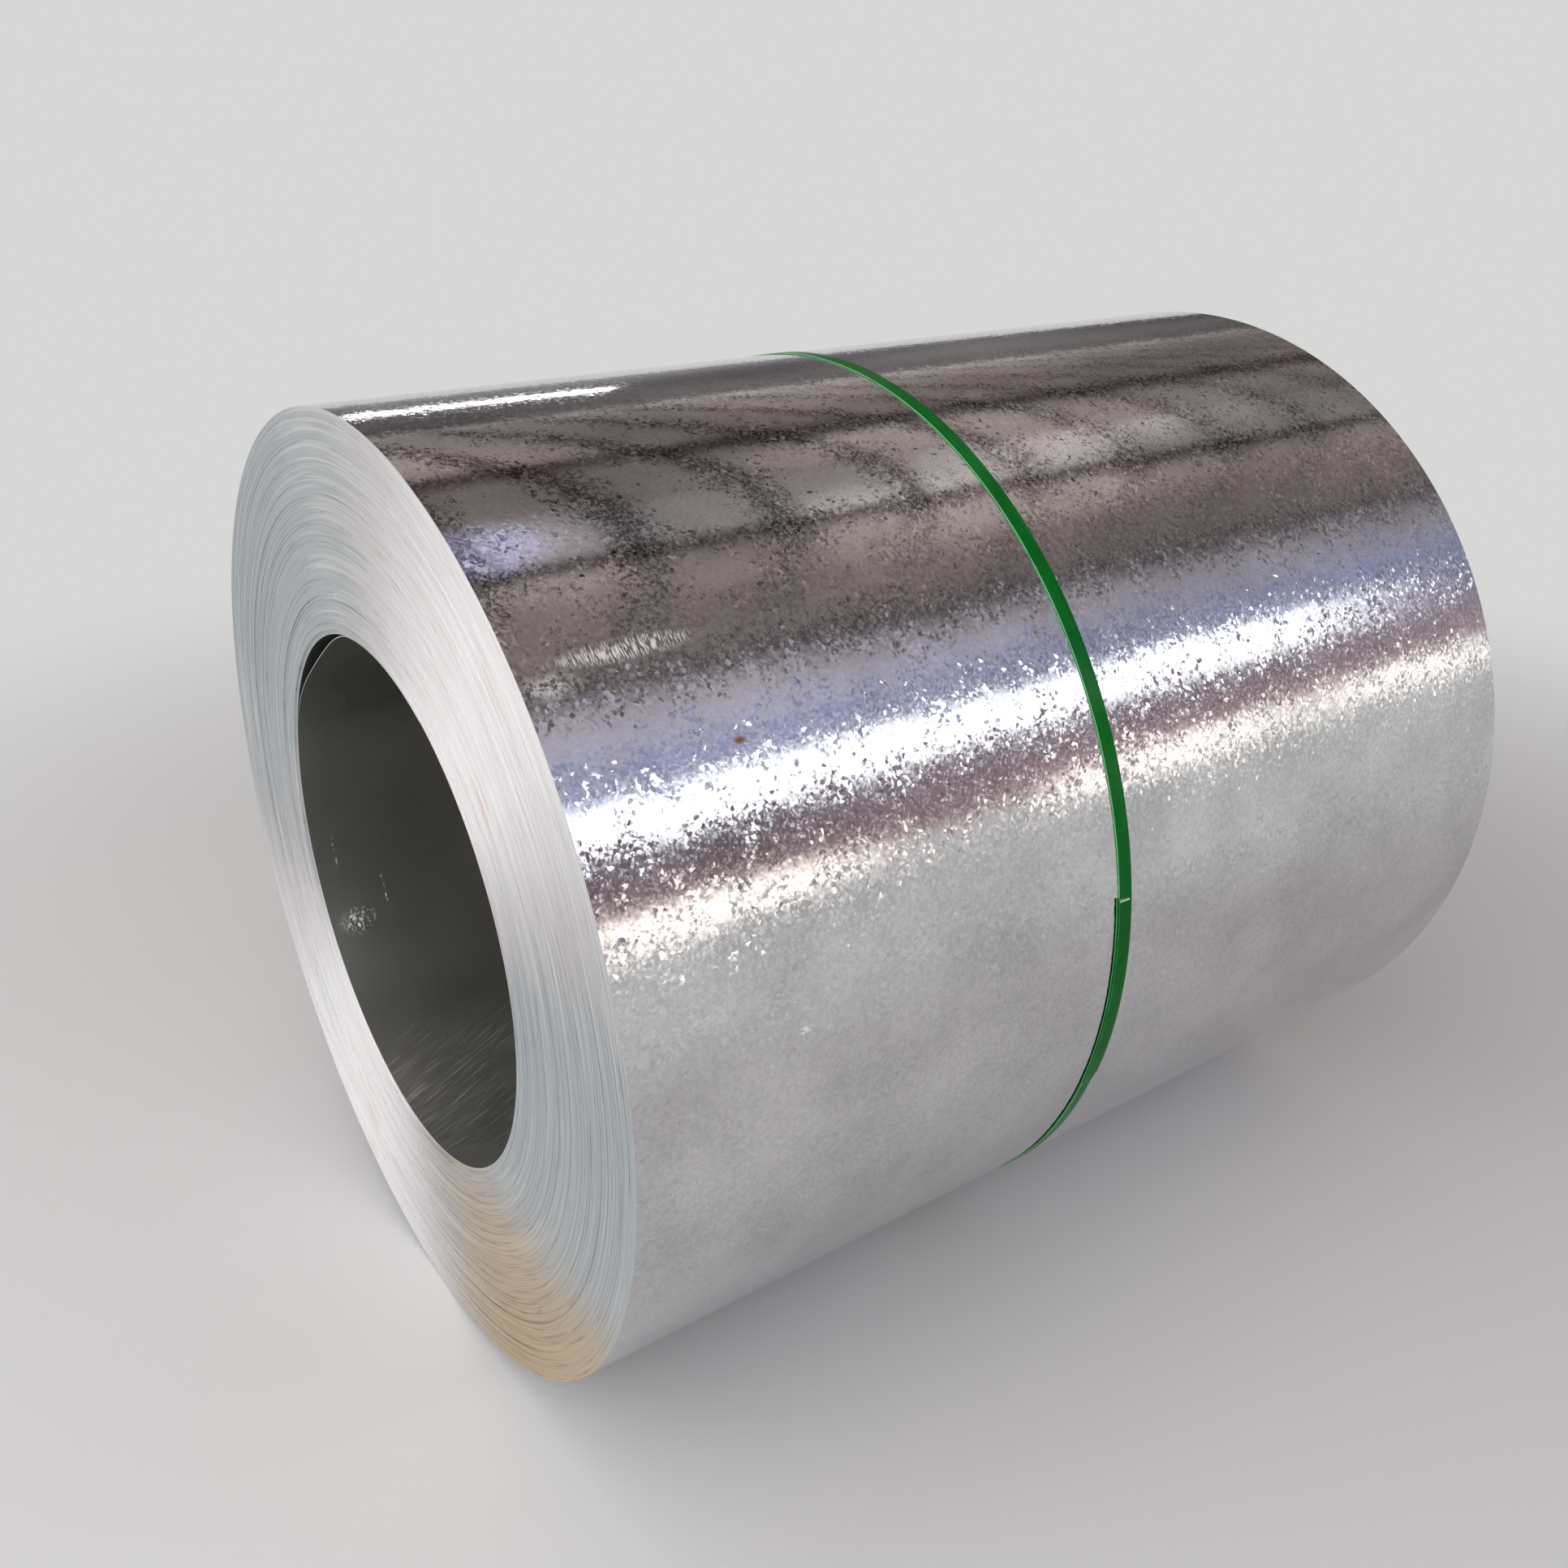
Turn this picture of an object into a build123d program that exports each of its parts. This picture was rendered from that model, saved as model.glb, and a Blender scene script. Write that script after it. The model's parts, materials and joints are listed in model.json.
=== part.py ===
from build123d import *
from math import cos, degrees, pi, radians, sin
import os

# Driving sizes of the coil, in millimetres.
bore_diameter = 610.0
outside_diameter = 1085.0
strip_width = 1250.0

# The turns wander to and fro along the axis as the strip is wound, so each end
# shows rings that stand proud or set in. A ring is a group of level turns.
strip_wander = 3.0
ring_count = 16
ring_unevenness = 0.35
spacing_beat = 2.4
wander_cycle = 7
wander_stride = 5

# The strap is a flat band drawn tight round the barrel and welded to itself.
strap_width = 19.0
strap_thickness = 1.0
strap_clearance = 0.2
strap_from_near_edge = 583.0

# The doubled length of the strap, where its outer end lies over its start.
overlap_length = 237.0
overlap_end_height = 71.0
overlap_side_step = 4.0
overlap_ramp = 14.0
overlap_cut_rake = 15.0

# Places that follow from the driving sizes.
bore_radius = bore_diameter / 2
barrel_radius = outside_diameter / 2
wall = barrel_radius - bore_radius
strap_inside_radius = barrel_radius + strap_clearance
strap_outside_radius = strap_inside_radius + strap_thickness
overlap_outside_radius = strap_outside_radius + strap_thickness
near_edge = -strip_width / 2
far_edge = strip_width / 2
strap_middle = near_edge + strap_from_near_edge

# The coil lies on its side, and the strap's underside is its lowest line.
axis_height = strap_outside_radius
coil_axis = Axis((0, 0, axis_height), (1, 0, 0))
lengthways = Plane(origin=(0, 0, axis_height), x_dir=(1, 0, 0), z_dir=(0, -1, 0))


def across(place):
    # the plane square to the coil's axis at a place along it
    return Plane(origin=(place, 0, axis_height), x_dir=(0, 1, 0), z_dir=(1, 0, 0))


def ring_radius(ring):
    # inner radius of a ring, unevenly spaced between the bore and the barrel
    share = ring / ring_count
    uneven = ring_unevenness / ring_count * sin(spacing_beat * ring) * sin(pi * share)
    return bore_radius + wall * (share + uneven)


def ring_shift(ring):
    # how far a ring's turns sit along the axis, from -0.5 to 0.5 of the wander
    step = (ring * wander_stride + wander_cycle - 1) % wander_cycle
    return strip_wander * (step / (wander_cycle - 1) - 0.5)


# One strip wound on itself: a turned solid with its bore. The strip has one
# width, so a ring that is set in at one end stands proud at the other.
far_end = []
near_end = []
for ring in range(ring_count):
    far_face = far_edge + ring_shift(ring)
    near_face = near_edge + ring_shift(ring)
    inner, outer = ring_radius(ring), ring_radius(ring + 1)
    far_end += [(far_face, inner), (far_face, outer)]
    near_end += [(near_face, inner), (near_face, outer)]

with BuildPart() as coil:
    with BuildSketch(lengthways):
        with BuildLine():
            Polyline(*far_end, *reversed(near_end), close=True)
        make_face()
    revolve(axis=coil_axis)

# The strap. Angles are turned from +Y, seen from the far end of the coil.
overlap_start = 180 - degrees(overlap_end_height / overlap_outside_radius)
overlap_angle = degrees(overlap_length / overlap_outside_radius)
ramp_angle = degrees(overlap_ramp / overlap_outside_radius)
rake_angle = degrees(strap_width * sin(radians(overlap_cut_rake)) / overlap_outside_radius)
strap_near_side = strap_middle - strap_width / 2

with BuildPart() as strap:
    # the outer end, which climbs over the start by a ramp
    with BuildSketch(across(strap_near_side - overlap_side_step)):
        with BuildLine():
            top = CenterArc((0, 0), overlap_outside_radius, overlap_start - rake_angle,
                            overlap_angle + rake_angle)
            under = CenterArc((0, 0), strap_outside_radius, overlap_start - rake_angle,
                              overlap_angle + rake_angle + ramp_angle)
            Line(top @ 0, under @ 0)
            Line(top @ 1, under @ 1)
        make_face()
    extrude(amount=strap_width)
    # its end is cut at a rake
    turn = radians(overlap_start)
    cut_point = (
        strap_middle - overlap_side_step,
        overlap_outside_radius * cos(turn),
        axis_height + overlap_outside_radius * sin(turn),
    )
    rake = radians(overlap_cut_rake)
    cut_normal = (-sin(rake), -sin(turn) * cos(rake), cos(turn) * cos(rake))
    split(bisect_by=Plane(origin=cut_point, z_dir=cut_normal), keep=Keep.TOP)
    # the round of the strap on the barrel
    with BuildSketch(across(strap_near_side)):
        Circle(strap_outside_radius)
        Circle(strap_inside_radius, mode=Mode.SUBTRACT)
    extrude(amount=strap_width)

coil.part.label = "coil"
strap.part.label = "strap"

os.makedirs("parts", exist_ok=True)
export_step(coil.part, "parts/coil.step")
export_step(strap.part, "parts/strap.step")
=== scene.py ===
import bpy
import bmesh
import json
from math import ceil, cos, degrees, pi, radians, sin
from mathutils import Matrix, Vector, noise
from random import Random


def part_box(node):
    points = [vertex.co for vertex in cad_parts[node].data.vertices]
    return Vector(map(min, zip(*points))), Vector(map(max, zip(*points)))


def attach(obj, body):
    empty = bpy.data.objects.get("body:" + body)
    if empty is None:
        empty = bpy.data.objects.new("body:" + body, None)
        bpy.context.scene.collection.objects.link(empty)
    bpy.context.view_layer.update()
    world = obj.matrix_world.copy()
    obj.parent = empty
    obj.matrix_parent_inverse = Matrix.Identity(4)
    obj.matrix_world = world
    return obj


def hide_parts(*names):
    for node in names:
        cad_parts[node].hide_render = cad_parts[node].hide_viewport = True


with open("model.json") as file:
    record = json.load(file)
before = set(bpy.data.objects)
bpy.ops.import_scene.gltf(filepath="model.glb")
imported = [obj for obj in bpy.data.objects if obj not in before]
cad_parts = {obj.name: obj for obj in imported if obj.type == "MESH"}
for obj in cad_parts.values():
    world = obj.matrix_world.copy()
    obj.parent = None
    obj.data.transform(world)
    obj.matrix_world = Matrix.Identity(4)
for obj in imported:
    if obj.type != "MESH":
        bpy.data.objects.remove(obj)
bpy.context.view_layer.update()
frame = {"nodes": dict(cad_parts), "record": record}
print("steel coil: frame loaded, nodes", sorted(frame["nodes"]))

# Places read from the frame. The coil's axis runs along X.
coilLow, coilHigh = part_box("coil")
strapLow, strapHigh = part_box("strap")
mounts = {mount["name"]: mount for mount in frame["record"]["mounts"]}
axisHeight = mounts["bore"]["pos_m"][2]
boreRadius = mounts["bore"]["dims"]["r_mm"] / 1000
stripWidth = mounts["bore"]["dims"]["length_mm"] / 1000
barrelRadius = (coilHigh.y - coilLow.y) / 2
wander = coilHigh.x - stripWidth / 2  # the most that a lap may sit off the middle


def coilPoint(x, radius, angle):
    # angle is in degrees above the front of the coil, up over the top towards the back
    turned = radians(angle)
    return Vector((x, -radius * cos(turned), axisHeight + radius * sin(turned)))


def smoothShare(value, low, high):
    share = min(max((value - low) / (high - low), 0), 1)
    return share * share * (3 - 2 * share)


def along(value, points):
    # a smooth value between given points, each one (place, value)
    for (start, first), (end, second) in zip(points, points[1:]):
        if value < end:
            return first + (second - first) * smoothShare(value, start, end)
    return points[-1][1]


def meshFrom(name, shape, sharpFrom=None):
    mesh = bpy.data.meshes.new(name)
    shape.to_mesh(mesh)
    shape.free()
    mesh.shade_smooth()
    if sharpFrom:
        mesh.set_sharp_from_angle(angle=radians(sharpFrom))
    return mesh


def discFaces(shape, middle, rings):
    # faces from a middle point out over rings of points
    sides = len(rings[0])
    for i in range(sides):
        j = (i + 1) % sides
        shape.faces.new((middle, rings[0][i], rings[0][j]))
        for inner, outer in zip(rings, rings[1:]):
            shape.faces.new((inner[i], outer[i], outer[j], inner[j]))


def addObject(name, data):
    added = bpy.data.objects.new(name, data)
    bpy.context.scene.collection.objects.link(added)
    return added


def showPiece(name, mesh, finishes, node):
    piece = addObject(name, mesh)
    for finish in finishes:
        mesh.materials.append(finish)
    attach(piece, "root")
    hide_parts(node)


# Node helpers shared by the finishes
def newFinish(name):
    finish = bpy.data.materials.new(name)
    finish.use_nodes = True
    finish.node_tree.nodes.clear()
    return finish, finish.node_tree


def feed(tree, socket, value):
    if isinstance(value, bpy.types.NodeSocket):
        tree.links.new(value, socket)
    else:
        socket.default_value = value


def put(tree, kind, inputs=None, **settings):
    made = tree.nodes.new("ShaderNode" + kind)
    for name, value in settings.items():
        setattr(made, name, value)
    for name, value in (inputs or {}).items():
        feed(tree, made.inputs[name], value)
    return made


def calc(tree, operation, first, second=0.0):
    return put(tree, "Math", {0: first, 1: second}, operation=operation).outputs[0]


def rise(tree, value, low, high, bottom=0.0, top=1.0):
    # a smooth step of a value, from bottom below low to top above high
    sockets = {"Value": value, "From Min": low, "From Max": high, "To Min": bottom, "To Max": top}
    return put(tree, "MapRange", sockets, interpolation_type="SMOOTHSTEP").outputs["Result"]


def blendColour(tree, share, first, second):
    made = put(tree, "Mix", data_type="RGBA")
    feed(tree, made.inputs[0], share)
    feed(tree, made.inputs[6], first)
    feed(tree, made.inputs[7], second)
    return made.outputs[2]


def mottle(tree, where, scale, detail=2.0, roughness=0.5):
    sockets = {"Vector": where, "Scale": scale, "Detail": detail, "Roughness": roughness}
    return put(tree, "TexNoise", sockets).outputs["Fac"]


def thinLines(tree, value, width):
    # 1 along the thin lines where a noise passes through its middle value
    off = calc(tree, "ABSOLUTE", calc(tree, "SUBTRACT", value, 0.5))
    return rise(tree, off, 0.0, width, 1.0, 0.0)


def easedRamp(tree, share, stops):
    # colours that ease from one stop to the next, each stop a share from 0 to 1 and a colour
    ramp = put(tree, "ValToRGB", {0: share})
    ramp.color_ramp.interpolation = "EASE"
    points = ramp.color_ramp.elements
    for stop, (place, colour) in enumerate(stops):
        point = points[stop] if stop < 2 else points.new(1)
        point.position = place
        point.color = (*colour, 1)
    return ramp.outputs["Color"]


def coilCoords(tree):
    # the coil's own coordinates: along the axis, to the front, up, the radius, the angle in degrees
    # and the way out from the axis
    point = put(tree, "TexCoord").outputs["Object"]
    onAxis = put(tree, "VectorMath", {0: point, 1: (0, 0, axisHeight)}, operation="SUBTRACT").outputs[0]
    parts = put(tree, "SeparateXYZ", {0: onAxis})
    front = calc(tree, "MULTIPLY", parts.outputs["Y"], -1.0)
    radius = calc(tree, "SQRT", calc(tree, "ADD", calc(tree, "MULTIPLY", front, front),
                                     calc(tree, "MULTIPLY", parts.outputs["Z"], parts.outputs["Z"])))
    angle = calc(tree, "MULTIPLY", calc(tree, "ARCTAN2", parts.outputs["Z"], front), degrees(1))
    return {"point": point, "x": parts.outputs["X"], "front": front, "up": parts.outputs["Z"],
            "radius": radius, "angle": angle,
            "out": (calc(tree, "DIVIDE", front, radius), calc(tree, "DIVIDE", parts.outputs["Z"], radius))}


def patch(tree, here, x, angle, halfLength, halfArc, softness):
    # 1 inside an oval place round the axis, fading to 0 at its rim
    overX = calc(tree, "DIVIDE", calc(tree, "SUBTRACT", here["x"], x), halfLength)
    overArc = calc(tree, "DIVIDE", calc(tree, "SUBTRACT", here["angle"], angle), halfArc)
    reach = calc(tree, "SQRT", calc(tree, "ADD", calc(tree, "MULTIPLY", overX, overX),
                                    calc(tree, "MULTIPLY", overArc, overArc)))
    return rise(tree, reach, 1 - softness, 1.0, 1.0, 0.0)


def coatWith(tree, shading):
    tree.links.new(shading, put(tree, "OutputMaterial").inputs["Surface"])


def surface(tree, sockets):
    coatWith(tree, put(tree, "BsdfPrincipled", sockets).outputs[0])


# The zinc coat on the outside: small crystals that each tip the light their own way
zincLook = {
    "pale": (0.74, 0.74, 0.75, 1),
    "grey": (0.47, 0.47, 0.48, 1),
    "scuffed": (0.86, 0.86, 0.86, 1),
    "rusty": (0.24, 0.09, 0.03, 1),
    # how much the coarse crystals, the fine ones and the clouds change the tone
    "toneFrom": (0.34, 0.22, 0.44),
    "clouds": 9.0,                # clouds in the coat, to a metre
    "crystals": (270.0, 520.0),   # crystals to a metre, coarse and fine
    "tips": (0.024, 0.012),       # how far the strongest of each tips its face
    "bright": (0.040, 0.050),     # roughness of the bright crystals: the least, and how much more by grain
    "matt": 0.09,                 # how much rougher the matt crystals are
    "mattFrom": (0.62, 0.92),
    "stir": [(60.0, 0.006), (620.0, 0.0008)],   # the crystals' edges are stirred twice: scale and reach
    "clusters": (34.0, 0.25, 1.30),   # places to a metre, and how strong the weakest and strongest tip
    "frost": 2.6,                 # how much stronger the crystals tip low on the front
    "frostFrom": (-8.0, 10.0),    # degrees between which that begins
    "frostTo": (42.0, 58.0),      # and ends
    "frostMatt": 0.07,            # and how much rougher it is there
    "waves": 18.0,                # slow waves in the sheet, to a metre
    "waveHeight": 0.00010,
    # handling marks: where along the barrel, degrees up its front, half length, half arc and soft rim
    "scuffAt": (-0.522, 46.2, 0.092, 1.4, 0.6),
    "rubbedAt": (-0.600, 44.2, 0.040, 1.8, 0.9),
    "paleAt": (-0.444, 7.0, 0.012, 0.5, 0.5),
    "rustAt": (-0.450, 35.3, 0.0090, 0.55, 0.7),
    "scratches": (520.0, 0.9),    # scratches to a metre along the barrel, and to a degree round it
    "scuffEdge": (0.44, 0.60),    # the scratches' noise between none of the scuff and all of it
    "rubbedEdge": (0.2, 0.7),     # the same, by the crystals
    "paleEdge": (0.4, 0.6),
    "rubbedShare": 0.7,           # how strong the rubbed place is beside the scuff
    "scuffMatt": 1.2,             # how matt a scuff is beside a matt crystal
    "scuffMetal": 0.75,           # how far a scuff hides the metal
}


def rolledSheet(tree, here):
    # the sheet laid flat, with its join under the coil
    fromTop = calc(tree, "ARCTAN2", here["front"], here["up"])
    alongSheet = calc(tree, "MULTIPLY", fromTop, barrelRadius)
    return put(tree, "CombineXYZ", {0: here["x"], 1: alongSheet}).outputs[0]


def tippedFace(tree, where, normal, scale, most):
    # crystals whose faces tip at random: the fifth power of a cell's colour leaves most nearly flat
    fullTip = 32.0    # a cell's colour is at most a half off its middle, and 32 halves to the fifth are 1
    cells = put(tree, "TexVoronoi", {"Vector": where, "Scale": scale},
                voronoi_dimensions="2D").outputs["Color"]
    spread = put(tree, "VectorMath", {0: cells, 1: (0.5, 0.5, 0.5)}, operation="SUBTRACT").outputs[0]
    square = put(tree, "VectorMath", {0: spread, 1: spread}, operation="MULTIPLY").outputs[0]
    fourth = put(tree, "VectorMath", {0: square, 1: square}, operation="MULTIPLY").outputs[0]
    peaked = put(tree, "VectorMath", {0: fourth, 1: spread}, operation="MULTIPLY").outputs[0]
    tip = put(tree, "VectorMath", {0: peaked, "Scale": calc(tree, "MULTIPLY", most, fullTip)},
              operation="SCALE").outputs[0]
    turned = put(tree, "VectorMath", {0: normal, 1: tip}, operation="ADD").outputs[0]
    return put(tree, "VectorMath", {0: turned}, operation="NORMALIZE").outputs[0], cells


def stirredPoint(tree, where, scale, reach):
    stir = put(tree, "TexNoise", {"Vector": where, "Scale": scale, "Detail": 1.0},
               noise_dimensions="2D").outputs["Color"]
    stirred = put(tree, "VectorMath", {0: stir, "Scale": reach}, operation="SCALE").outputs[0]
    return put(tree, "VectorMath", {0: where, 1: stirred}, operation="ADD").outputs[0]


def zincFinish():
    look = zincLook
    finish, tree = newFinish("zinc_coat")
    here = coilCoords(tree)
    flat = rolledSheet(tree, here)
    where = flat
    for scale, reach in look["stir"]:
        where = stirredPoint(tree, where, scale, reach)
    face = put(tree, "NewGeometry").outputs["Normal"]
    clusterScale, weakest, strongest = look["clusters"]
    cluster = rise(tree, mottle(tree, flat, clusterScale, 1.0), 0.35, 0.65, weakest, strongest)
    frost = calc(tree, "MULTIPLY", rise(tree, here["angle"], *look["frostFrom"]),
                 rise(tree, here["angle"], *look["frostTo"], 1.0, 0.0))
    stronger = calc(tree, "ADD", 1.0, calc(tree, "MULTIPLY", frost, look["frost"]))
    cluster = calc(tree, "MULTIPLY", cluster, stronger)
    cells = []
    for scale, tip in zip(look["crystals"], look["tips"]):
        face, cell = tippedFace(tree, where, face, scale, calc(tree, "MULTIPLY", cluster, tip))
        cells.append(cell)

    waves = mottle(tree, here["point"], look["waves"], 0.0)
    face = put(tree, "Bump", {"Height": waves, "Distance": look["waveHeight"], "Normal": face}).outputs[0]

    grain, speck = [put(tree, "SeparateColor", {0: cell}).outputs[2] for cell in cells]
    cloud = mottle(tree, here["point"], look["clouds"], 2.0, 0.6)
    byGrain, bySpeck, byCloud = look["toneFrom"]
    tone = calc(tree, "ADD", calc(tree, "MULTIPLY", grain, byGrain), calc(tree, "MULTIPLY", speck, bySpeck))
    tone = calc(tree, "ADD", tone, calc(tree, "MULTIPLY", rise(tree, cloud, 0.25, 0.75), byCloud))
    colour = blendColour(tree, tone, look["grey"], look["pale"])

    # handling marks: a long pale scuff, a rust speck and a small pale patch
    toMetre, toDegree = look["scratches"]
    scratchLines = put(tree, "CombineXYZ", {0: calc(tree, "MULTIPLY", here["x"], toMetre),
                                            1: calc(tree, "MULTIPLY", here["angle"], toDegree)}).outputs[0]
    scratches = mottle(tree, scratchLines, 1.0, 1.0, 0.7)
    broken = calc(tree, "ADD", calc(tree, "MULTIPLY", grain, 0.5), calc(tree, "MULTIPLY", speck, 0.5))
    scuff = calc(tree, "MULTIPLY", patch(tree, here, *look["scuffAt"]),
                 rise(tree, scratches, *look["scuffEdge"]))
    rubbed = calc(tree, "MULTIPLY", patch(tree, here, *look["rubbedAt"]),
                  rise(tree, broken, *look["rubbedEdge"]))
    scuff = calc(tree, "MAXIMUM", scuff, calc(tree, "MULTIPLY", rubbed, look["rubbedShare"]))
    pale = patch(tree, here, *look["paleAt"])
    pale = calc(tree, "MULTIPLY", pale, rise(tree, broken, *look["paleEdge"]))
    scuff = calc(tree, "MAXIMUM", scuff, pale)
    colour = blendColour(tree, scuff, colour, look["scuffed"])
    rust = patch(tree, here, *look["rustAt"])
    colour = blendColour(tree, rust, colour, look["rusty"])

    # some crystals are bright as a mirror and some are matt, so flecks show round a reflection
    least, more = look["bright"]
    rough = calc(tree, "ADD", least, calc(tree, "MULTIPLY", grain, more))
    matt = calc(tree, "MAXIMUM", rise(tree, speck, *look["mattFrom"]),
                calc(tree, "MULTIPLY", scuff, look["scuffMatt"]))
    rough = calc(tree, "ADD", rough, calc(tree, "MULTIPLY", matt, look["matt"]))
    rough = calc(tree, "ADD", rough, calc(tree, "MULTIPLY", frost, look["frostMatt"]))
    hidden = calc(tree, "MAXIMUM", calc(tree, "MULTIPLY", scuff, look["scuffMetal"]), rust)
    metal = calc(tree, "SUBTRACT", 1.0, hidden)
    surface(tree, {"Base Color": colour, "Metallic": metal, "Roughness": rough, "Normal": face})
    return finish


# The ends: edges of the laps, fine rings brushed round the axis
edgeLook = {
    # pale and cool are painted sheen: the bright and the dim sectors of the brushed gloss
    "pale": (0.90, 0.885, 0.89, 1),
    "cool": (0.61, 0.665, 0.685, 1),
    "line": (0.50, 0.52, 0.55, 1),
    "rosy": (0.78, 0.62, 0.63, 1),
    # tan and brown paint a warm reflection at the foot of the end
    "tan": (0.74, 0.55, 0.33, 1),
    "brown": (0.36, 0.22, 0.11, 1),
    # painted sheen: how pale the edges are, by degrees over the coil from the front, counted from its back
    # foot
    "sheenAndRingTone": [(-180, 0.35), (-152, 0.8), (-125, 1.0), (-92, 0.9), (-72, 0.5), (-45, 0.1), (2, 0.05),
                 (24, 0.7), (45, 1.0), (80, 1.0), (96, 0.45), (118, 0.0), (150, 0.05), (180, 0.35)],
    # rings of three kinds: how many to a metre of radius, how soon each changes along itself,
    # and how much it changes the tone laid over the painted sheen
    "midRings": (290.0, 2.2, 1.6),
    "fineRings": (760.0, 3.5, 0.7),
    "broadRings": (60.0, 1.1, 0.5),
    "endsApart": 3.0,       # how far apart the two ends' patterns are, to a metre of length
    "ringHeight": 0.00008,
    "seamWidth": 0.045,     # thin lines between the laps
    "seamShare": 0.9,
    "brownWidth": 0.05,     # and brown ones in the painted warm reflection
    "brownShare": 0.6,
    "rough": (0.40, 0.12),  # the least, and how much more by the fine rings
    "metal": 0.92,
    "brushed": 0.88,        # how far the gloss is drawn out across the rings
    # the painted warm reflection at the foot: where it starts below the axis and in front of it
    "paintedReflectionBelow": (0.195, 0.345),
    "paintedReflectionBefore": (-0.03, 0.24),
    "paintedReflectionShare": 0.8,
}


def ringNoise(tree, here, rings, drift):
    # noise that runs round the axis in rings, changes slowly along each ring and differs between the ends
    across = calc(tree, "MULTIPLY", here["radius"], rings)
    first = calc(tree, "MULTIPLY", here["out"][0], drift)
    second = calc(tree, "MULTIPLY", here["out"][1], drift)
    end = calc(tree, "MULTIPLY", here["x"], edgeLook["endsApart"])
    second = calc(tree, "ADD", second, end)
    where = put(tree, "CombineXYZ", {0: across, 1: first, 2: second}).outputs[0]
    return mottle(tree, where, 1.0, 1.0)


def byAngle(tree, here, points):
    # a smooth value by the angle round the coil, from points (degrees, value)
    share = calc(tree, "DIVIDE", calc(tree, "ADD", here["angle"], 180.0), 360.0)
    return easedRamp(tree, share, [((place + 180) / 360, (value,) * 3) for place, value in points])


def edgeFinish():
    look = edgeLook
    finish, tree = newFinish("lap_edges")
    here = coilCoords(tree)
    # painted sheen by the angle round the coil, with the rings' own tone added below
    sheenAndRingTone = byAngle(tree, here, look["sheenAndRingTone"])
    noises = []
    for rings, drift, share in (look["midRings"], look["fineRings"], look["broadRings"]):
        ringed = ringNoise(tree, here, rings, drift)
        change = calc(tree, "MULTIPLY", calc(tree, "SUBTRACT", ringed, 0.5), share)
        sheenAndRingTone = calc(tree, "ADD", sheenAndRingTone, change)
        noises.append(ringed)
    mid, fine = noises[:2]
    # the painted sheen picks between the cool and the pale colour
    colour = blendColour(tree, rise(tree, sheenAndRingTone, 0.0, 1.0), look["cool"], look["pale"])

    # thin lines between the laps, rosy where the painted sheen is pale
    seams = calc(tree, "MULTIPLY", thinLines(tree, mid, look["seamWidth"]), rise(tree, fine, 0.35, 0.6))
    seamColour = blendColour(tree, rise(tree, sheenAndRingTone, 0.3, 0.8), look["line"], look["rosy"])
    colour = blendColour(tree, calc(tree, "MULTIPLY", seams, look["seamShare"]), colour, seamColour)

    # a painted warm reflection at the foot of the end, with browner lines
    below = rise(tree, calc(tree, "MULTIPLY", here["up"], -1.0), *look["paintedReflectionBelow"])
    paintedReflection = calc(tree, "MULTIPLY", below, rise(tree, here["front"], *look["paintedReflectionBefore"]))
    browner = calc(tree, "MULTIPLY", thinLines(tree, mid, look["brownWidth"]), look["brownShare"])
    warm = blendColour(tree, browner, look["tan"], look["brown"])
    colour = blendColour(tree, calc(tree, "MULTIPLY", paintedReflection, look["paintedReflectionShare"]), colour, warm)

    height = calc(tree, "ADD", calc(tree, "MULTIPLY", fine, 0.5), calc(tree, "MULTIPLY", mid, 0.5))
    face = put(tree, "Bump", {"Height": height, "Distance": look["ringHeight"]}).outputs[0]
    least, more = look["rough"]
    rough = calc(tree, "ADD", least, calc(tree, "MULTIPLY", fine, more))
    # the tangent runs round the axis, and a quarter turn draws the gloss out across the rings
    ringWay = put(tree, "Tangent", direction_type="RADIAL", axis="X").outputs[0]
    surface(tree, {"Base Color": colour, "Metallic": look["metal"], "Roughness": rough,
                   "Anisotropic": look["brushed"], "Anisotropic Rotation": 0.25,
                   "Normal": face, "Tangent": ringWay})
    return finish


# The bore wall: the same zinc, duller, with a few marks near its mouth, its dents painted pale as glints
boreLook = {
    "zinc": (0.66, 0.66, 0.63, 1),
    "dark": (0.56, 0.56, 0.54, 1),
    "dust": (0.60, 0.54, 0.52, 1),
    # bright: the pale of the dashed scratches and the painted glints of the dents
    "bright": (0.92, 0.92, 0.92, 1),
    "clouds": 6.0,                 # clouds in the coat, to a metre
    "dustFrom": (0.80, 1.00),      # how far down the wall the dust begins and is full
    "dustShare": (0.12, 0.30),     # how much lies everywhere there, and more in the scratches
    "slanted": (210.0, 2.6),       # the scratches' pattern across them, to a metre and to a degree
    "lengthways": (9.0, -0.09),    # and along them
    "scratchEdge": (0.52, 0.68),   # the scratches' noise between none of a scratch and all of it
    "rough": (0.26, 0.04, 0.3),    # the least, and how much more by the clouds and by the dust
    "metalLost": (0.35, 0.6),      # to the dust and to the marks, whose pale is partly painted glints
    "pits": 190.0,                 # pits to a metre
    "dentEdge": (0.585, 0.62),     # the pits' noise between none of a dent's painted glint and all of it
    "dashEdge": (0.47, 0.55),
    # marks beside the mouth: where along the bore, degrees round it, half length, half arc and soft rim
    "dentsAt": (-0.586, -149.0, 0.032, 4.2, 0.8),
    "dashesAt": [(-0.545, -155.0, 0.0016, 5.0, 0.5), (-0.597, -167.0, 0.0014, 5.5, 0.5)],
    "dentDepth": 0.0015,
}


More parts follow.
